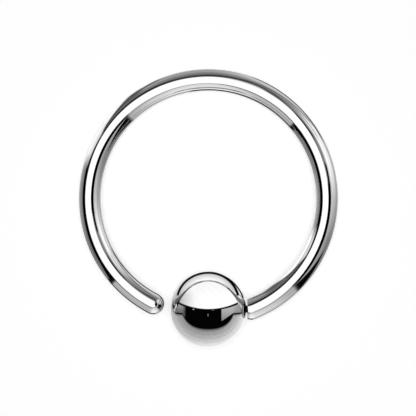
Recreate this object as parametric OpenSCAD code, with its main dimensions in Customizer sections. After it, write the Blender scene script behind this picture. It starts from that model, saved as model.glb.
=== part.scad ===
// Captive bead ring: a round wire bent into an open hoop, with a round bead
// fixed on one end of the wire. The other end stops short of the bead, and the
// hoop is bent a little to open or close it. The hoop lies on its side on a
// flat surface, touching it under the bead and at the wire opposite the bead.
// X runs from the free end to the fixed end, -Y points to the bead, +Z is up,
// and the origin is on the surface below the middle of the bounding box.

/* [Wire] */
// Diameter of the round wire
wire_d = 1.2; // [0.8:0.1:1.6]
// Clear diameter inside the hoop
inner_d = 12; // [9:0.5:16]

/* [Bead] */
// Diameter of the bead
bead_d = 4.2; // [3:0.1:5]

/* [Opening] */
// Gap between the wire's free end and the bead
free_gap = 0.37; // [0.1:0.01:1.5]

/* [Fixed end] */
// Gap between the bead and the flat face of the wire's fixed end
neck_l = 0.07; // [0.05:0.01:0.3]
// Distance from the flat face back to the centre of the end's dome
face_set = 0.23; // [0.1:0.01:0.35]
// Diameter of the peg turned on the wire's fixed end
peg_d = 0.4; // [0.3:0.05:0.6]
// Length of the peg inside the bead
peg_l = 1.2; // [0.6:0.1:1.8]

/* [Bead socket] */
// Clearance round the peg, on the radius
socket_clearance = 0.02; // [0.01:0.01:0.05]
// Clearance beyond the peg's tip
socket_end_clearance = 0.1; // [0.05:0.05:0.3]

/* [Bead dimple] */
// Depth of the dimple that the free end closes into
dimple_depth = 0.1; // [0.05:0.01:0.2]
// Clearance round the free end's dome in the dimple, on the radius
dimple_clearance = 0.05; // [0.02:0.01:0.1]

/* [Hidden] */

$fn = 96;
steel_colour = "#c9ccd0";
bead_colour = "#d3d5d8";
// How far a cut runs on past the face that it starts from
cut_over = 0.5;
// How far the domes stand proud of the wire, so that they meet it in a clean edge
dome_over = 0.001;

wire_r = wire_d / 2;
bead_r = bead_d / 2;
peg_r = peg_d / 2;
// Radius of the hoop at the middle of the wire
hoop_r = inner_d / 2 + wire_r;

// The bead's centre, the peg and the centre of the fixed end's dome lie on one
// line along X. The dome's centre is also on the hoop's circle, which sets the
// angle of the fixed end and how far the line is from the hoop's centre.
fixed_x = bead_r + neck_l + face_set;
fixed_angle = asin(fixed_x / hoop_r);
bead_dist = hoop_r * cos(fixed_angle);

// The free end's dome has its centre on the hoop's circle too, at the distance
// from the bead's centre that leaves the gap. The law of cosines gives its angle.
free_reach = bead_r + free_gap + wire_r;
free_angle = acos((hoop_r * hoop_r + bead_dist * bead_dist - free_reach * free_reach)
                  / (2 * hoop_r * bead_dist));

// Where the wire starts, counted from +X, and how far round the hoop it runs
wire_start = fixed_angle - 90;
wire_sweep = 360 - fixed_angle - free_angle;

// Resting pose: the bead and the far side of the hoop touch the surface
lean = asin((bead_r - wire_r) / (hoop_r + bead_dist));
rest_z = wire_r + hoop_r * sin(lean);
far_y = hoop_r * cos(lean) + wire_r;
near_y = bead_dist * cos(lean) + bead_r;
rest_y = (near_y - far_y) / 2;

// Lays the hoop, drawn flat around the origin, down in its resting pose
module at_rest() {
    translate([0, rest_y, rest_z])
        rotate([-lean, 0, 0])
            children();
}

// Turns and moves a shape to the bead's centre, with +Z along the peg's axis
module on_bead_axis() {
    translate([0, -bead_dist, 0])
        rotate([0, 90, 0])
            children();
}

// The bent wire, with a round dome on each end
module domed_wire() {
    rotate([0, 0, wire_start])
        rotate_extrude(angle = wire_sweep)
            translate([hoop_r, 0])
                circle(r = wire_r);
    for (end_angle = [wire_start, wire_start + wire_sweep])
        rotate([0, 0, end_angle])
            translate([hoop_r, 0, 0])
                sphere(r = wire_r + dome_over);
}

// Wire of the hoop: the fixed end is faced off flat and carries the peg
module ring_wire() {
    face_z = bead_r + neck_l;
    peg_tip_z = bead_r - peg_l;
    color(steel_colour)
        at_rest() {
            difference() {
                domed_wire();
                on_bead_axis()
                    translate([0, 0, face_z - cut_over])
                        cylinder(h = 2 * cut_over, r = wire_r + cut_over, center = true);
            }
            on_bead_axis()
                translate([0, 0, peg_tip_z])
                    cylinder(h = fixed_x - peg_tip_z, r = peg_r);
        }
}

// Bead: drilled for the peg, with a dimple that faces the free end
module bead() {
    socket_l = peg_l + socket_end_clearance;
    dimple_r = wire_r + dimple_clearance;
    // Direction from the bead's centre to the free end's dome, in the hoop's plane
    free_x = -hoop_r * sin(free_angle);
    free_y = bead_dist - hoop_r * cos(free_angle);
    dimple_dist = bead_r + dimple_r - dimple_depth;
    color(bead_colour)
        at_rest()
            difference() {
                translate([0, -bead_dist, 0])
                    sphere(r = bead_r);
                on_bead_axis()
                    translate([0, 0, bead_r - socket_l])
                        cylinder(h = socket_l + cut_over, r = peg_r + socket_clearance);
                translate([0, -bead_dist, 0])
                    translate([free_x, free_y, 0] * dimple_dist / free_reach)
                        sphere(r = dimple_r);
            }
}

ring_wire();
bead();
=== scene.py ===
"""Looks of the captive bead ring: bent steel wire, steel bead, acrylic floor and the studio round them.

The ring lies leaning a little, one side on its bead. "Ring plane" below means the hoop's own plane,
with +X towards the fixed end, +Y away from the bead and +Z towards the camera, in metres. All shapes
are worked out in it, and resting() takes them to the frame that the CAD parts use.
"""
from math import acos, asin, atan2, cos, pi, radians, sin, sqrt

import bpy
import numpy as np
from mathutils import Matrix, Vector


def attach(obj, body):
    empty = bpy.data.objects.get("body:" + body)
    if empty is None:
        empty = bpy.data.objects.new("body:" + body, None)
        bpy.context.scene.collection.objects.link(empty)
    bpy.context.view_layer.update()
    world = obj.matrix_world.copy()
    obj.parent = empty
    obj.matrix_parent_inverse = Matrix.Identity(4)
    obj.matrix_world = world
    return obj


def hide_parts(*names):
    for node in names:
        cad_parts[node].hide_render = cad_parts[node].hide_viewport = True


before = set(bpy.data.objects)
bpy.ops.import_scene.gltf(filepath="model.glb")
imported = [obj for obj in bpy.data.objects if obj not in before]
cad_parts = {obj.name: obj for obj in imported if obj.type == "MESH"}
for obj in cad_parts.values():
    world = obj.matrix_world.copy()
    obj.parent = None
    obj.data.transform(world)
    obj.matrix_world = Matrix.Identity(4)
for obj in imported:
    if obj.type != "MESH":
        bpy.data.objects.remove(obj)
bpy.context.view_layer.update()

MM = 0.001

# Driving dimensions, as the CAD part has them
WIRE_R = 0.6 * MM
HOOP_R = 6.0 * MM + WIRE_R
BEAD_R = 2.1 * MM
FREE_GAP = 0.37 * MM
NECK_L = 0.07 * MM
FACE_SET = 0.23 * MM
PEG_R = 0.2 * MM
PEG_L = 1.2 * MM
SOCKET_R = PEG_R + 0.02 * MM
SOCKET_L = PEG_L + 0.1 * MM
DIMPLE_DEPTH = 0.1 * MM
DIMPLE_R = WIRE_R + 0.05 * MM
# Roundings that tumbling leaves on the cut edges
EDGE_ROUND = 0.04 * MM
LIP_ROUND = 0.02 * MM

# Places that follow from them
FIXED_X = BEAD_R + NECK_L + FACE_SET
FIXED_ANGLE = asin(FIXED_X / HOOP_R)
BEAD_DIST = HOOP_R * cos(FIXED_ANGLE)
FREE_REACH = BEAD_R + FREE_GAP + WIRE_R
FREE_ANGLE = acos((HOOP_R**2 + BEAD_DIST**2 - FREE_REACH**2) / (2 * HOOP_R * BEAD_DIST))
LEAN = asin((BEAD_R - WIRE_R) / (HOOP_R + BEAD_DIST))
HOOP_CENTRE = Vector((0, ((BEAD_DIST - HOOP_R) * cos(LEAN) + BEAD_R - WIRE_R) / 2,
                      WIRE_R + HOOP_R * sin(LEAN)))

# The ring plane's axes in the frame
RIGHT = Vector((1, 0, 0))
UP = Vector((0, cos(LEAN), -sin(LEAN)))
FACING = Vector((0, sin(LEAN), cos(LEAN)))

BEAD_CENTRE = HOOP_CENTRE - UP * BEAD_DIST
SLIT_CENTRE = BEAD_CENTRE + RIGHT * (BEAD_R + NECK_L / 2)
# Turns what looks along the frame's -Z square on to the ring plane
SQUARE_ON = Matrix((RIGHT, UP, FACING)).transposed().to_4x4()


def resting(points, middle=HOOP_CENTRE):
    """Takes points from the ring plane to the frame: turned by the lean, then moved to the hoop's centre
    or another middle."""
    return points @ np.array([RIGHT, UP, FACING]) + np.array(middle)


# Shapes


def put(name, data):
    """Puts an object with this mesh, light or camera into the scene, at the origin."""
    made = bpy.data.objects.new(name, data)
    bpy.context.scene.collection.objects.link(made)
    return made


def surface(name, points, faces):
    """Puts a mesh of these points and faces into the scene."""
    mesh = bpy.data.meshes.new(name)
    mesh.from_pydata(points.tolist(), [], faces)
    return put(name, mesh)


def grid_faces(rows, across, closed=True):
    """Four-sided faces of a grid of points, numbered row by row. On a closed grid the last point of a
    row joins up with its first."""
    k, j = np.meshgrid(np.arange(rows - 1), np.arange(across if closed else across - 1), indexing="ij")
    k, j = k.ravel() * across, j.ravel()
    after = (j + 1) % across
    return np.stack([k + j, k + after, k + across + after, k + across + j], 1)


def round_surface(name, centres, sides, radii, run=None):
    """A closed surface made of circles that stand square to the ring plane.

    Circle k has its centre at centres[k], lies along sides[k] and the plane's normal, and has radius
    radii[k]: point = centre + radius * (cos t * side + sin t * normal). The first and last circle
    have radius 0 and close the surface with one vertex each. run, the way gone along the surface,
    and t times the wire's radius become the UV map.
    """
    around = 96
    t = np.arange(around) * 2 * pi / around
    rows = slice(1, len(radii) - 1)
    flat = centres[rows, None] + radii[rows, None, None] * np.cos(t)[:, None] * sides[rows, None]
    high = radii[rows, None, None] * np.sin(t)[:, None]
    body = np.concatenate([flat, high], axis=2).reshape(-1, 3)
    ends = np.array([[*centres[0], 0.0], [*centres[-1], 0.0]])
    points = resting(np.concatenate([body, ends]))

    count = len(radii) - 2
    quads = grid_faces(count, around)
    j = np.arange(around)
    after = (j + 1) % around
    first, last, tail = count * around, count * around + 1, (count - 1) * around
    fans = np.concatenate([np.stack([np.full(around, first), after, j], 1),
                           np.stack([np.full(around, last), tail + j, tail + after], 1)])
    if signed_volume(points, quads, fans) < 0:
        quads, fans = quads[:, ::-1], fans[:, ::-1]

    made = surface(name, points, quads.tolist() + fans.tolist())
    made.data.polygons.foreach_set("use_smooth", np.ones(len(made.data.polygons), bool))
    if run is not None:
        way = np.append(np.repeat(run[rows], around), [run[0], run[-1]]) / MM
        turn = np.append(np.tile(t, count), [0, 0]) * WIRE_R / MM
        wrap_map(made.data, way, turn)
    made.data.update()
    return made


def wrap_map(mesh, way, turn):
    """UV map of the wire in millimetres, from how far along and how far round it each point is. A face
    across the seam takes its low corners once more round, so that nothing is squeezed there."""
    corner = np.zeros(len(mesh.loops), np.int32)
    mesh.loops.foreach_get("vertex_index", corner)
    uv = np.stack([way[corner], turn[corner]], 1)
    sizes = np.zeros(len(mesh.polygons), np.int32)
    mesh.polygons.foreach_get("loop_total", sizes)
    face = np.repeat(np.arange(len(sizes)), sizes)
    high_side = np.zeros(len(sizes))
    np.maximum.at(high_side, face, uv[:, 1])
    girth = 2 * pi * WIRE_R / MM
    uv[:, 1] += np.where(high_side[face] - uv[:, 1] > girth / 2, girth, 0)
    mesh.uv_layers.new(name="along_wire").data.foreach_set("uv", uv.ravel())


def signed_volume(points, quads, fans):
    """Volume of a closed mesh, positive where its faces point outwards: sums a . (b x c) / 6."""
    triangles = np.concatenate([quads[:, [0, 1, 2]], quads[:, [0, 2, 3]], fans])
    a, b, c = (points[triangles[:, i]] for i in range(3))
    return float((a * np.cross(b, c)).sum() / 6)


def turned(directions):
    """Each direction in the ring plane turned a quarter to the left."""
    return np.stack([-directions[:, 1], directions[:, 0]], 1)


def heading(angles):
    """Unit directions in the ring plane at these angles from +X, in radians."""
    return np.stack([np.cos(angles), np.sin(angles)], 1)


def corner_round(along, out, size, start, end, count=7):
    """Quarter-like arc of a rounded edge, as (way along the axis, distance from it)."""
    t = np.linspace(start, end, count)
    return np.stack([along + size * np.cos(t), out + size * np.sin(t)], 1)


def bent_wire():
    """Wire of the hoop: a circle carried along the hoop's arc, a half ball on the free end, and on the
    fixed end a ball that is faced off flat, with the peg that goes into the bead."""
    start, stop = FREE_ANGLE, 2 * pi - FIXED_ANGLE
    # How many circles the tip, the arc, the ball, the face and the peg are made of
    in_tip, in_arc, in_ball, in_face, in_peg = 24, 421, 13, 6, 10
    # Free end: circles of a half ball round the arc's first point
    q = np.linspace(0, pi / 2, in_tip + 1)[:-1]
    ahead = np.array([[-cos(start), sin(start)]])
    tip = HOOP_R * np.array([[-sin(start), -cos(start)]])
    free = (tip - ahead * WIRE_R * np.cos(q)[:, None], np.repeat(turned(ahead), in_tip, 0),
            WIRE_R * np.sin(q))
    # Arc: angle counted clockwise from the bead
    a = np.linspace(start, stop, in_arc)
    out = np.stack([-np.sin(a), -np.cos(a)], 1)
    arc = (HOOP_R * out, out, np.full(in_arc, WIRE_R))
    # Fixed end: circles on the ball, whose axis swings from the wire's way to the bead's -X
    edge = EDGE_ROUND
    rim = acos((FACE_SET - edge) / (WIRE_R - edge))
    b = np.linspace(pi / 2, rim, in_ball + 1)[1:]
    swing = np.linspace(pi + FIXED_ANGLE, pi, in_ball + 1)[1:]
    ball_axis = heading(swing)
    end = np.array([[FIXED_X, -BEAD_DIST]])
    ball = (end + ball_axis * (WIRE_R * np.cos(b))[:, None], turned(ball_axis), WIRE_R * np.sin(b))
    # Face, neck and peg: (way along -X from the ball's centre, radius)
    face_out = sqrt((WIRE_R - edge) ** 2 - (FACE_SET - edge) ** 2)
    peg_end = FIXED_X - (BEAD_R - PEG_L)
    root = LIP_ROUND
    steps = np.concatenate([
        corner_round(FACE_SET - edge, face_out, edge, rim, 0)[1:],
        np.stack([np.full(in_face, FACE_SET),
                  np.linspace(face_out, PEG_R + root, in_face + 2)[1:-1]], 1),
        corner_round(FACE_SET + root, PEG_R + root, root, pi, 3 * pi / 2),
        np.stack([np.linspace(FACE_SET + root, peg_end - root, in_peg + 2)[1:-1],
                  np.full(in_peg, PEG_R)], 1),
        corner_round(peg_end - root, PEG_R - root, root, pi / 2, 0),
        np.array([[peg_end, 0.5 * PEG_R], [peg_end, 0.0]]),
    ])
    left = np.array([[-1.0, 0.0]])
    peg = (end + left * steps[:, :1], np.repeat(turned(left), len(steps), 0), steps[:, 1])
    centres, sides, radii = (np.concatenate(part) for part in zip(free, arc, ball, peg))
    hops = np.hypot(np.linalg.norm(np.diff(centres, axis=0), axis=1), np.diff(radii))
    return round_surface("bent_wire", centres, sides, radii, np.concatenate([[0], np.cumsum(hops)]))


def steel_bead():
    """Bead: circles on a ball, from the peg's socket round to the dimple that the free end closes into.
    Their axis swings from the socket's axis to the dimple's. Socket and dimple have rounded lips."""
    # How many circles the socket's wall, the ball and the dimple's hollow are made of
    in_wall, in_ball, in_hollow = 10, 150, 14
    lip = LIP_ROUND
    mouth = asin((SOCKET_R + lip) / (BEAD_R - lip))
    floor_at, mouth_at = BEAD_R - SOCKET_L, (BEAD_R - lip) * cos(mouth)
    socket = np.concatenate([
        np.array([[floor_at, 0.0], [floor_at, 0.5 * SOCKET_R], [floor_at, 0.9 * SOCKET_R]]),
        np.stack([np.linspace(floor_at, mouth_at, in_wall), np.full(in_wall, SOCKET_R)], 1),
        corner_round(mouth_at, SOCKET_R + lip, lip, pi, mouth)[1:],
    ])
    # Where the rounded lip of the dimple touches its hollow and the ball
    reach = BEAD_R + DIMPLE_R - DIMPLE_DEPTH
    inner, outer = DIMPLE_R + lip, BEAD_R - lip
    lip_at = (outer**2 - inner**2 + reach**2) / (2 * reach)
    lip_out = sqrt(outer**2 - lip_at**2)
    from_ball = atan2(lip_out, lip_at)
    to_hollow = atan2(-lip_out, reach - lip_at)
    hollow = np.linspace(-to_hollow, 0, in_hollow)
    dimple = np.concatenate([
        corner_round(lip_at, lip_out, lip, from_ball, to_hollow)[1:],
        np.stack([reach - DIMPLE_R * np.cos(hollow), DIMPLE_R * np.sin(hollow)], 1)[1:],
    ])
    to_free = np.array([-HOOP_R * sin(FREE_ANGLE), BEAD_DIST - HOOP_R * cos(FREE_ANGLE)])
    dimple_heading = atan2(to_free[1], to_free[0])

    q = np.linspace(mouth, pi - from_ball, in_ball)
    share = (q - mouth) / (pi - from_ball - mouth)
    swing = (dimple_heading - pi) * share * share * (3 - 2 * share)
    axis = np.concatenate([np.repeat(heading(np.array([0.0])), len(socket), 0), heading(swing),
                           np.repeat(heading(np.array([dimple_heading - pi])), len(dimple), 0)])
    along = np.concatenate([socket[:, 0], BEAD_R * np.cos(q), -dimple[:, 0]])
    out = np.concatenate([socket[:, 1], BEAD_R * np.sin(q), dimple[:, 1]])
    out[0] = out[-1] = 0.0
    centres = np.array([[0.0, -BEAD_DIST]]) + axis * along[:, None]
    return round_surface("steel_bead", centres, turned(axis), out)


# Materials


# Steel, and the lines that the die or the lapping plates leave on it
WIRE_STEEL = "#b7b7b7"
DIE_LINES = "#c0c0c0"
BEAD_STEEL = "#dbdbdb"
HAIR_LINES = "#d1d1d1"
# Steel reflects less at a grazing angle: in the photo its rims are grey with the white floor beside them
RIM_TINT = "#bcbcbc"
# Painted shade in the slit round the peg, a dull black for the shadow between wire and bead: how far
# from the slit's middle it lies, and over what share of that it thins out
SLIT_SHADE_BLACK = "#141414"
SLIT_SHADE_ROUGH = 0.6
SLIT_SHADE_R = 0.28 * MM
SLIT_SHADE_THINS = 0.15
FLOOR_WHITE = "#f4f4f4"
# Share of the floor's brightness that comes through it from below, and the rest from above
FROM_BELOW = 0.55
FROM_ABOVE = 0.44
# Where the light on the floor starts to fall off, where it ends, and the grey out there
POOL_R = 17 * MM
POOL_END = 150 * MM
FAR_GREY = "#e6e6e6"


def linear(code):
    """sRGB hex to linear red, green, blue and alpha."""
    parts = [int(code[i:i + 2], 16) / 255 for i in (1, 3, 5)]
    return [p / 12.92 if p <= 0.04045 else ((p + 0.055) / 1.055) ** 2.4 for p in parts] + [1.0]


def add(tree, kind, inputs=None, **settings):
    """Adds a node, gives it its settings, and fills its inputs with values or other nodes' outputs."""
    made = tree.nodes.new(kind)
    for name, value in settings.items():
        setattr(made, name, value)
    for socket, value in (inputs or {}).items():
        if isinstance(value, bpy.types.NodeSocket):
            tree.links.new(value, made.inputs[socket])
        else:
            made.inputs[socket].default_value = value
    return made


def new_material(name):
    """An empty node material and its output node."""
    made = bpy.data.materials.new(name)
    made.use_nodes = True
    made.node_tree.nodes.clear()
    return made, add(made.node_tree, "ShaderNodeOutputMaterial")


def finish_steel(tree, output, place, colour, rough, bump):
    """Steel with painted shade in the slit round the peg: a dull black that stands in for the shadow
    there and makes the neck between wire and bead look dark."""
    # Painted shade: near the slit's middle the steel turns a dull, non-metal black where shadow falls
    off = add(tree, "ShaderNodeVectorMath", {0: place, 1: SLIT_CENTRE}, operation="DISTANCE")
    unshaded = add(tree, "ShaderNodeMapRange",
               {0: off.outputs["Value"], 1: (1 - SLIT_SHADE_THINS) * SLIT_SHADE_R,
                2: (1 + SLIT_SHADE_THINS) * SLIT_SHADE_R}, interpolation_type="SMOOTHSTEP").outputs[0]
    both = add(tree, "ShaderNodeMapRange", {"Vector": unshaded, 9: linear(SLIT_SHADE_BLACK)[:3], 10: colour},
               data_type="FLOAT_VECTOR").outputs["Vector"]
    dull = add(tree, "ShaderNodeMapRange", {0: unshaded, 3: SLIT_SHADE_ROUGH, 4: rough}).outputs[0]
    shader = add(tree, "ShaderNodeBsdfPrincipled",
                 {"Base Color": both, "Metallic": unshaded, "Roughness": dull,
                  "Specular Tint": linear(RIM_TINT), "Normal": bump})
    tree.links.new(shader.outputs[0], output.inputs["Surface"])


def drawn_steel():
    """Surgical steel wire, drawn through a die and tumbled bright. The die leaves faint lines along the
    wire, which break up the reflections a little lengthways."""
    made, output = new_material("drawn_surgical_steel")
    tree = made.node_tree
    along = add(tree, "ShaderNodeUVMap", uv_map="along_wire").outputs["UV"]
    # Die lines, in millimetres. Real ones are 0.01 mm wide, drawn wider so that the render shows them
    line_length, line_width = 4.0, 0.12
    stretched = add(tree, "ShaderNodeMapping", {"Vector": along, "Scale": (line_length, line_width, 1)},
                    vector_type="TEXTURE").outputs[0]
    lines = add(tree, "ShaderNodeTexNoise",
                {"Vector": stretched, "Scale": 1.0, "Detail": 3.0, "Roughness": 0.6}).outputs["Fac"]
    # Tumbling leaves patches that are a little duller
    patch_size = 1.5 * MM
    place = add(tree, "ShaderNodeTexCoord").outputs["Object"]
    patches = add(tree, "ShaderNodeTexNoise",
                  {"Vector": place, "Scale": 1 / patch_size, "Detail": 2.0}).outputs["Fac"]
    mixed = add(tree, "ShaderNodeMath", {0: lines, 1: patches}, operation="MULTIPLY").outputs[0]
    rough = add(tree, "ShaderNodeMapRange", {0: mixed, 1: 0.1, 2: 0.45, 3: 0.035, 4: 0.075}).outputs[0]
    bump = add(tree, "ShaderNodeBump", {"Strength": 0.12, "Distance": 0.004 * MM, "Height": lines})
    colour = add(tree, "ShaderNodeMapRange",
                 {"Vector": lines, 7: (0.3,) * 3, 8: (0.7,) * 3, 9: linear(WIRE_STEEL)[:3],
                  10: linear(DIE_LINES)[:3]}, data_type="FLOAT_VECTOR").outputs["Vector"]
    finish_steel(tree, output, place, colour, rough, bump.outputs[0])
    return made


def lapped_steel():
    """Surgical steel ball, ground and lapped between plates. That leaves a near perfect mirror with hair
    scratches in all directions."""
    made, output = new_material("lapped_steel_ball")
    tree = made.node_tree
    place = add(tree, "ShaderNodeTexCoord").outputs["Object"]
    # Hair scratches. Real ones are a few micrometres wide, drawn wider so that the render shows them
    line_length, line_width = 2.0 * MM, 0.08 * MM
    scratches = None
    for turn in ((0.3, 0.9, 0.2), (1.2, 0.1, 0.8)):
        laid = add(tree, "ShaderNodeMapping",
                   {"Vector": place, "Rotation": turn, "Scale": (line_width, line_length, line_length)},
                   vector_type="TEXTURE").outputs[0]
        one = add(tree, "ShaderNodeTexNoise",
                  {"Vector": laid, "Scale": 1.0, "Detail": 2.0}).outputs["Fac"]
        scratches = one if scratches is None else add(
            tree, "ShaderNodeMath", {0: scratches, 1: one}, operation="MAXIMUM").outputs[0]
    rough = add(tree, "ShaderNodeMapRange",
                {0: scratches, 1: 0.55, 2: 0.85, 3: 0.02, 4: 0.04}).outputs[0]
    colour = add(tree, "ShaderNodeMapRange",
                 {"Vector": scratches, 7: (0.45,) * 3, 8: (0.8,) * 3, 9: linear(BEAD_STEEL)[:3],
                  10: linear(HAIR_LINES)[:3]}, data_type="FLOAT_VECTOR").outputs["Vector"]
    bump = add(tree, "ShaderNodeBump", {"Strength": 0.05, "Distance": 0.0008 * MM, "Height": scratches})
    finish_steel(tree, output, place, colour, rough, bump.outputs[0])
    return made


def floor_acrylic():
    """Opal acrylic sheet, sanded matt and lit from below, which keeps the shadows on it light. A pool of
    light is painted into its colour and glow: white round the ring, falling off to a pale grey further
    out."""
    made, output = new_material("opal_acrylic_sheet")
    tree = made.node_tree
    place = add(tree, "ShaderNodeTexCoord").outputs["Object"]
    away = add(tree, "ShaderNodeVectorMath", {0: place}, operation="LENGTH").outputs["Value"]
    # Painted pool of light: the sheet's colour and glow fall off with the distance from the ring
    reach = add(tree, "ShaderNodeMapRange",
                {0: away, 1: POOL_R, 2: POOL_END, 3: 1.0, 4: linear(FAR_GREY)[0]},
                interpolation_type="SMOOTHSTEP").outputs[0]
    # Sanding leaves a grain that takes the gloss off
    grain = 0.4 * MM
    tooth = add(tree, "ShaderNodeTexNoise",
                {"Vector": place, "Scale": 1 / grain, "Detail": 3.0}).outputs["Fac"]
    bump = add(tree, "ShaderNodeBump", {"Strength": 0.05, "Distance": 0.01 * MM, "Height": tooth})
    tint = add(tree, "ShaderNodeVectorMath", {0: linear(FLOOR_WHITE)[:3], 3: reach}, operation="SCALE")
    matt = add(tree, "ShaderNodeBsdfDiffuse", {"Color": tint.outputs[0], "Normal": bump.outputs[0]})
    glow = add(tree, "ShaderNodeMath", {0: reach, 1: FROM_BELOW}, operation="MULTIPLY").outputs[0]
    inner = add(tree, "ShaderNodeEmission", {"Color": linear("#ffffff"), "Strength": glow})
    both = add(tree, "ShaderNodeAddShader", {0: matt.outputs[0], 1: inner.outputs[0]})
    tree.links.new(both.outputs[0], output.inputs["Surface"])
    return made


# Studio


def step(x, edge, soft):
    """0 below the edge, 1 above it, with a smooth rise as wide as soft."""
    s = np.clip((x - edge) / soft + 0.5, 0, 1)
    return s * s * (3 - 2 * s)


def between(x, low, high, soft):
    """1 between low and high and 0 beyond them, with both ends as wide as soft."""
    return step(x, low, soft) * (1 - step(x, high, soft))


def over(under, top, cover):
    """What shows where top hides the share cover of what is under it."""
    return under * (1 - cover) + top * cover


def shade(code, steel):
    """How bright a part of a tent is, given as the grey that it shows on steel of that reflectance."""
    return linear("#" + code * 3)[0] / steel


def fade(x, stops, steel):
    """How bright a part is whose grey changes along x, from stops of (x, grey)."""
    return np.interp(x, [at for at, _ in stops], [shade(grey, steel) for _, grey in stops])


def folds(r, way, rows):
    """Folds of cloth that run round the middle and shade it by a few per cent: 1 plus, for each row,
    depth * sin(close * r + sway * sin(waves * way + shift))."""
    return 1 + sum(depth * np.sin(close * r + sway * np.sin(waves * way + shift))
                   for depth, close, sway, waves, shift in rows)


def rim_share(r, steel):
    """Share of its light that steel still reflects with the rim tint, at mirror coordinate r.

    The surface that shows r to the camera is tilted by the angle with cosine c = sqrt(1 - r^2). Plain
    steel reflects steel + (1 - steel) (1 - c)^5 there, and the tint takes b c (1 - c)^6 off that, with
    b such that the tint is what is left at c = 1/7."""
    c = np.sqrt(np.maximum(0, 1 - r**2))
    plain, at_tint = (steel + (1 - steel) * (1 - x) ** 5 for x in (c, 1 / 7))
    b = at_tint * (1 - linear(RIM_TINT)[0]) * 7 / (6 / 7) ** 6
    return 1 - b * c * (1 - c) ** 6 / plain


# Light round the wire. Angles are degrees clockwise from the side that the bead is on, and distances
# are mirror coordinates from the middle, where 1 is right behind the ring. Each wall starts at its
# angle, over soft degrees, and runs to the next one's start. Its stops are (distance, grey).
WALLS = (
    (-44, 5, ((.45, "a8"), (1.0, "a8"))),                             # table, right corner
    (-36, 14, ((.36, "b0"), (.60, "d0"), (1.0, "b8"))),
    (-22, 18, ((.36, "c8"), (.80, "f4"), (1.0, "b8"))),               # its middle
    (18, 26, ((.60, "b0"), (1.0, "a8"))),                             # its left corner
    (50, 2, ((.60, "50"), (.86, "78"))),                              # left wall
    (78, 26, ((.50, "40"), (1.0, "a8"))),                             # its lighter half
    (108, 10, ((.50, "c0"), (.90, "fc"), (1.0, "b8"))),               # left window
    (142, 14, ((.36, "30"), (.74, "90"), (1.0, "a8"))),               # top wall
    (194, 30, ((.28, "b8"), (.48, "68"), (.84, "cc"), (1.0, "a8"))),  # right half
    (228, 14, ((.32, "a0"), (.50, "f4"), (.72, "f0"), (.92, "98"))),  # right window
    (263, 24, ((.36, "c4"), (.84, "98"))),                            # right wall
    (282, 22, ((.36, "a0"), (.76, "6c"), (1.0, "90"))),               # its shaded half
)
# Seams and black flags, each a four-sided patch: (from, to), inner edge and outer edge at both angles,
# how soft its ends and its sides are, and its grey
PATCHES = (
    ((-44, 4), (.29, .31), (.38, .37), (4, .03), "98"),       # table's front rim
    ((4, 50), (.32, .40), (.39, .50), (6, .03), "58"),
    ((-46, -10), (.85, .865), (.96, .975), (3, .03), "98"),   # table's back rim, lighter on the right
    ((-10, 51), (.865, .89), (.975, 1.0), (3, .03), "28"),
    ((200, 242), (.92, .82), (1.0, .92), (6, .03), "38"),
    ((48.5, 51.5), (.42, .42), (.98, .90), (1, .04), "10"),   # end of the left wall
    ((49, 58), (.42, .44), (.84, .67), (1.5, .04), "0c"),
    ((49, 105), (.40, .39), (.665, .65), (1.5, .03), "00"),   # left seam
    ((103, 126), (.39, .38), (.59, .50), (3, .03), "10"),
    ((120, 148), (.46, .42), (.52, 1.10), (6, .08), "60"),    # upper flag and its hem
    ((124, 158), (.54, .88), (.66, .97), (6, .04), "40"),
    ((121, 166), (.40, .32), (.53, .47), (6, .04), "0c"),     # upper seam
    ((158, 214), (.31, .34), (.46, .46), (16, .05), "38"),
    ((196, 234), (.47, .74), (.54, .80), (6, .04), "48"),     # creases in the upper right
    ((206, 232), (.38, .20), (.48, .28), (4, .03), "40"),
    ((207, 246), (.24, .24), (.36, .31), (6, .05), "58"),
    ((222, 252), (.38, .32), (.43, .37), (6, .03), "70"),
    ((221, 241), (.51, .54), (.58, .61), (5, .04), "98"),
    ((225, 241), (.20, .18), (.31, .31), (4, .03), "14"),     # right seam
    ((240, 255), (.16, .18), (.29, .33), (3, .03), "78"),
    ((253, 263), (.21, .17), (.37, .36), (1.5, .025), "10"),
    ((262, 318), (.115, .125), (.37, .36), (1.5, .025), "00"),
    ((314, 345), (.27, .29), (.36, .36), (3, .03), "60"),
    ((294, 315.5), (.70, .34), (.73, .93), (2, .03), "04"),   # right flag
)
# Folds of each tent's cloth: (depth, close, sway, waves, shift), as folds() takes them
WIRE_FOLDS = ((0.07, 29, 2, 1, 1), (0.07, 52, 3, 2, 0), (0.05, 91, -4, 3, 1))
BEAD_FOLDS = ((0.045, 61, 2, 3, 0), (0.03, 103, -3, 2, 0))
# Inner edges of the panels beside the bead's flag
LEFT_PANEL = -0.61
RIGHT_PANEL = 0.345
# Lamp stands that the flag doesn't quite hide: (middle, top, foot, half width, grey)
STANDS = (
    (-0.01, -0.13, -0.19, 0.007, "a0"),
    (-0.39, 0.05, -0.02, 0.02, "e0"),
    (0.12, 0.0, -0.03, 0.03, "e0"),
)
# How much higher all that has an edge hangs in the bead's tent
HUNG = 0.02


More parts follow.
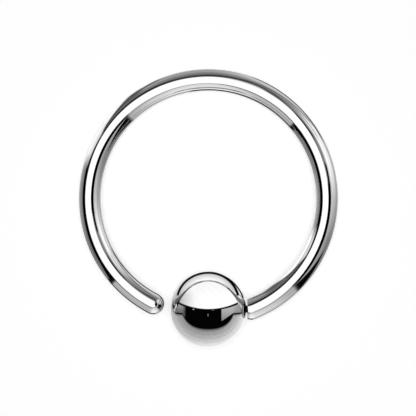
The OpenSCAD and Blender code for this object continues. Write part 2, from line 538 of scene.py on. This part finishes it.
def wire_light(u, v):
    """Light round the wire: walls with folds in their cloth, then seams and flags, then the front
    diffuser. u and v are mirror coordinates: where on a mirror ball's disc, from -1 to 1, a light is
    seen."""
    steel = linear(WIRE_STEEL)[0]
    r = np.hypot(u, v)
    first = WALLS[0][0]
    turn = (np.degrees(np.arctan2(-u, -v)) - first) % 360 + first
    glow = np.zeros_like(u)
    for start, soft, stops in WALLS:
        cover = step(turn, start, soft) if start > first else 1.0
        glow = over(glow, fade(r, stops, steel), cover)
    glow = glow * folds(r, np.radians(turn), WIRE_FOLDS)
    for (start, stop), inner, outer, (soft_end, soft_side), grey in PATCHES:
        share = np.clip((turn - start) / (stop - start), 0, 1)
        low = inner[0] + (inner[1] - inner[0]) * share
        high = outer[0] + (outer[1] - outer[0]) * share
        cover = between(turn, start, stop, soft_end) * between(r, low, high, soft_side)
        glow = over(glow, shade(grey, steel), cover)
    # Front diffuser: a rounded sheet, weaker towards its edge and cut nearly straight on its right
    sheet = (np.abs((u + 0.10) / 0.30) ** 2.6 + np.abs((v + 0.02) / 0.31) ** 2.6) ** (1 / 2.6)
    front = (1 - step(sheet, 1.0, 0.12)) * (1 - step(u, 0.105 + 0.2 * np.abs(v), 0.04))
    # A fold shades its upper right part
    shaded = between(turn, 188, 228, 16) * step(r, 0.2, 0.2)
    white = shade("ff", steel) * (1.08 - 0.22 * sheet**3) * (1 - 0.33 * shaded)
    return over(glow, white, front) / rim_share(r, steel)


def bead_light(u, v):
    """Light round the bead, in the same coordinates: a white softbox above, a black flag with a grey
    panel on each side, and below them a table that is darker where it is nearer."""
    steel = linear(BEAD_STEEL)[0]
    black = shade("04", steel)
    r = np.hypot(u, v)
    way = np.arctan2(v, u)
    v = v - HUNG
    # Table: a rounded bay in front of the flag and straight shoulders beside it. It is shaded along that
    # edge and on the left, and its cover lies in faint rings
    bay = -0.53 * np.sqrt(np.maximum(0, 1 - np.abs(u / np.where(u < 0, 0.70, 0.68)) ** 2.4))
    below = np.minimum(-0.158, bay) - v
    table = fade(r, ((0.53, "88"), (0.78, "bc"), (0.96, "e8"), (1.0, "e0")), steel)
    # Far down at the sides the table runs on under the panels
    near = 1 - step(r, 0.885, 0.07)
    table *= 1 - near * (1 - np.interp(below, (0, 0.02, 0.05, 0.09), (0.12, 0.5, 0.9, 1)))
    table *= 1 + 0.4 * np.minimum(u, 0)
    glow = table * folds(r, way, BEAD_FOLDS)
    # Black flag with a grey panel on each side. The right one ends at a slant above the table
    left = fade(v, ((-0.08, "70"), (0.10, "a0")), steel) * (1 - 0.6 * step(u, -0.66, 0.08))
    right = fade(v, ((-0.33, "84"), (0.10, "c4")), steel) * (1 - 0.3 * step(u, 0.68, 0.2))
    right = np.where((v < -0.333 + 0.66 * (u - 0.33)) & (u < 0.66), black, right)
    band = (left * (1 - step(u, LEFT_PANEL, 0.03)) + black * between(u, LEFT_PANEL, RIGHT_PANEL, 0.02)
            + right * step(u, RIGHT_PANEL, 0.02))
    for at, top, foot, wide, grey in STANDS:
        lamp = between(u, at - wide, at + wide, 0.015) * between(v, foot, top, 0.03)
        band = over(band, shade(grey, steel), lamp)
    # Gap between the panels and the table
    band = over(band, black, step(below, -0.036, 0.015))
    glow = over(glow, band, (1 - step(below, 0.0, 0.02)) * near)
    # Softbox, weaker towards its left end, with a black frame under it that is thicker at the sides
    edge = 0.26 * u**2
    glow = over(glow, black, step(v, edge - 0.03 - 0.04 * np.abs(u), 0.02) * near)
    lit = fade(u, ((-0.85, "a8"), (-0.35, "f8"), (-0.1, "ff")), steel) * 1.05
    lit = over(lit, shade("fc", steel), step(v, 0.45, 0.3))
    glow = over(glow, lit, step(v, edge, 0.02))
    # Backdrop over the softbox, shaded towards the rail that holds it
    arch = np.hypot(u / np.where(u < 0, 0.84, 0.80), (v - 0.2) / 0.748)
    drape = fade(arch, ((0.78, "fc"), (0.96, "c4")), steel)
    glow = over(glow, drape, step(v, 0.745 - 0.65 * u**2, 0.015))
    # Back sheet: it starts behind a black rail, which runs as an arch over the softbox
    high = step(v, 0.32, 0.03)
    back = fade(r, ((0.90, "e0"), (0.955, "f0")), steel) * (1 - 0.3 * step(-u, 0.5, 0.5))
    glow = over(glow, back, step(arch, 1.0, 0.02) * high)
    rail = between(arch, 0.955, 1.03 + 0.02 * np.maximum(u, 0), 0.015) * high
    # A second, thin rail behind it shows on the right
    rail = np.maximum(rail, between(r, 0.944, 0.982, 0.012) * step(u, 0.3, 0.3) * step(v, 0.2, 0.05))
    return over(glow, black, rail) / rim_share(r, steel)


# Tents stand far off beside the ring's size, and the floor reaches out past them
TENT_R = 0.4
FLOOR_HALF = 1.5


def set_values(mesh, name, values):
    """Keeps one number for each point of a mesh, for its material to read."""
    made = mesh.attributes.new(name, "FLOAT", "POINT")
    made.data.foreach_set("value", values.astype(np.float32).ravel())


def light_tent(name, middle, light, piece):
    """Cloth tent that lights one piece only: part of a ball round it, with lamps and black flags painted
    on as light(u, v). A point seen from the middle in direction d has (u, v) = d's right and up parts
    over sqrt(2 (1 + d's part towards the camera)), which is where a mirror ball shows it."""
    rings, spokes = 220, 480
    # The last ring shrinks to the point right behind the piece and closes the tent there
    out = np.append(np.linspace(0, 0.9995, rings - 1), 1.0)
    r, t = np.meshgrid(out, np.arange(spokes) * 2 * pi / spokes, indexing="ij")
    u, v = r * np.cos(t), r * np.sin(t)
    polar = 2 * np.arcsin(r)
    across = np.sin(polar)
    points = np.stack([across * np.cos(t), across * np.sin(t), np.cos(polar)], 2).reshape(-1, 3)
    tent = surface(name, resting(points * TENT_R, middle), grid_faces(rings, spokes).tolist())
    set_values(tent.data, "glow", light(u, v))
    made, output = new_material(name + "_cloth")
    tree = made.node_tree
    glow = add(tree, "ShaderNodeAttribute", attribute_name="glow").outputs["Fac"]
    lit = add(tree, "ShaderNodeEmission", {"Strength": glow})
    clear = add(tree, "ShaderNodeBsdfTransparent")
    both = add(tree, "ShaderNodeAddShader", {0: lit.outputs[0], 1: clear.outputs[0]})
    tree.links.new(both.outputs[0], output.inputs["Surface"])
    made.cycles.emission_sampling = "NONE"
    tent.data.materials.append(made)
    tent.visible_camera = tent.visible_diffuse = tent.visible_shadow = False
    lights_only(tent, piece)


def lights_only(source, piece):
    """Links a light source to one object, so that nothing else is lit by it."""
    group = bpy.data.collections.new(source.name + "_lights")
    group.objects.link(piece)
    source.light_linking.receiver_collection = group


def floor_sheet():
    """Flat sheet of acrylic under the ring."""
    half = FLOOR_HALF
    corners = np.array([(-half, -half, 0), (half, -half, 0), (half, half, 0), (-half, half, 0)])
    made = surface("floor_sheet", corners, [(0, 1, 2, 3)])
    made.data.materials.append(floor_acrylic())
    # The tents light the steel from below too, so the sheet isn't mirrored in it
    made.visible_glossy = False
    return made


def mirrored_shadow():
    """The shadow on the floor as the steel mirrors it: a fine grid just over the floor that only
    reflections see, dark under the bead and under the wire and clear beside them.

    Under the bead the darkness falls from 1 to 0 with the distance from the bead's foot. Under the wire
    it falls with the distance from the hoop's line, and the higher the wire runs, the weaker it is."""
    half, count, lift = 9.5 * MM, 240, 0.002 * MM
    across = np.linspace(-half, half, count)
    x, y = np.meshgrid(across, across, indexing="ij")
    bead_y = HOOP_CENTRE.y - BEAD_DIST * cos(LEAN)
    bead_part = 1 - step(np.hypot(x, y - bead_y), 0.85 * BEAD_R, 0.8 * BEAD_R)
    in_hoop = (y - HOOP_CENTRE.y) / cos(LEAN)
    off_line = np.abs(np.hypot(x, in_hoop) - HOOP_R)
    height = HOOP_CENTRE.z - in_hoop * sin(LEAN) - WIRE_R
    wire_part = (1 - step(off_line, 0.75 * WIRE_R, 0.7 * WIRE_R)) * np.exp(-height / WIRE_R)
    dark = 1 - (1 - bead_part) * (1 - wire_part)
    points = np.stack([x, y, np.full_like(x, lift)], 2).reshape(-1, 3)
    shadow = surface("mirrored_shadow", points, grid_faces(count, count, closed=False).tolist())
    set_values(shadow.data, "dark", dark)
    made, output = new_material("shadow_on_floor")
    tree = made.node_tree
    share = add(tree, "ShaderNodeAttribute", attribute_name="dark").outputs["Fac"]
    clear = add(tree, "ShaderNodeBsdfTransparent")
    black = add(tree, "ShaderNodeEmission", {"Color": linear("#000000"), "Strength": 0.0})
    both = add(tree, "ShaderNodeMixShader", {0: share, 1: clear.outputs[0], 2: black.outputs[0]})
    tree.links.new(both.outputs[0], output.inputs["Surface"])
    shadow.data.materials.append(made)
    shadow.visible_camera = shadow.visible_diffuse = shadow.visible_shadow = False


def studio(wire, bead):
    """Floor, lights and the pale room beyond, which only the camera sees."""
    floor = floor_sheet()
    mirrored_shadow()
    # Broad soft light on the floor alone
    overhead = put("overhead_light", bpy.data.lights.new("overhead_light", "SUN"))
    overhead.data.energy = FROM_ABOVE * pi / linear(FLOOR_WHITE)[0]
    overhead.data.angle = radians(30)
    overhead.matrix_world = SQUARE_ON
    lights_only(overhead, floor)
    light_tent("bead_tent", BEAD_CENTRE, bead_light, bead)
    light_tent("wire_tent", HOOP_CENTRE, wire_light, wire)

    world = bpy.data.worlds.new("pale_room")
    world.use_nodes = True
    tree = world.node_tree
    tree.nodes.clear()
    # As bright as the floor's far edge
    seen = add(tree, "ShaderNodeLightPath").outputs["Is Camera Ray"]
    as_floor = add(tree, "ShaderNodeMath", {0: seen, 1: FROM_BELOW + FROM_ABOVE * cos(LEAN)},
                   operation="MULTIPLY").outputs[0]
    pale = add(tree, "ShaderNodeBackground", {"Color": linear(FAR_GREY), "Strength": as_floor})
    output = add(tree, "ShaderNodeOutputWorld")
    tree.links.new(pale.outputs[0], output.inputs["Surface"])
    bpy.context.scene.world = world


# Camera: long lens, square to the hoop, as the photograph was taken. It aims a little left of the hoop's
# centre and below it
LENS = 250.0
SENSOR = 36.0
FRAME_WIDTH = 23.14 * MM
AIM_LEFT = 0.022 * MM
AIM_BELOW = 0.528 * MM


def photo_camera():
    """The camera, as far off as the lens needs to fit the frame's width at the hoop."""
    made = put("photo_camera", bpy.data.cameras.new("photo_camera"))
    made.data.lens, made.data.sensor_width = LENS, SENSOR
    made.data.clip_start, made.data.clip_end = 0.001, 10
    distance = FRAME_WIDTH * LENS / SENSOR
    aim = HOOP_CENTRE - RIGHT * AIM_LEFT - UP * AIM_BELOW
    made.matrix_world = Matrix.Translation(aim + FACING * distance) @ SQUARE_ON
    bpy.context.scene.camera = made


def main():
    """Puts both pieces in the place of their CAD nodes, then the studio and the camera round them."""
    wire, bead = bent_wire(), steel_bead()
    wire.data.materials.append(drawn_steel())
    bead.data.materials.append(lapped_steel())
    for piece, node, slot in ((wire, "ring_wire", "wire_steel"), (bead, "bead", "bead_steel")):
        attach(piece, "root")
        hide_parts(node)
    studio(wire, bead)
    photo_camera()
    bpy.context.scene.view_settings.view_transform = "Standard"


main()
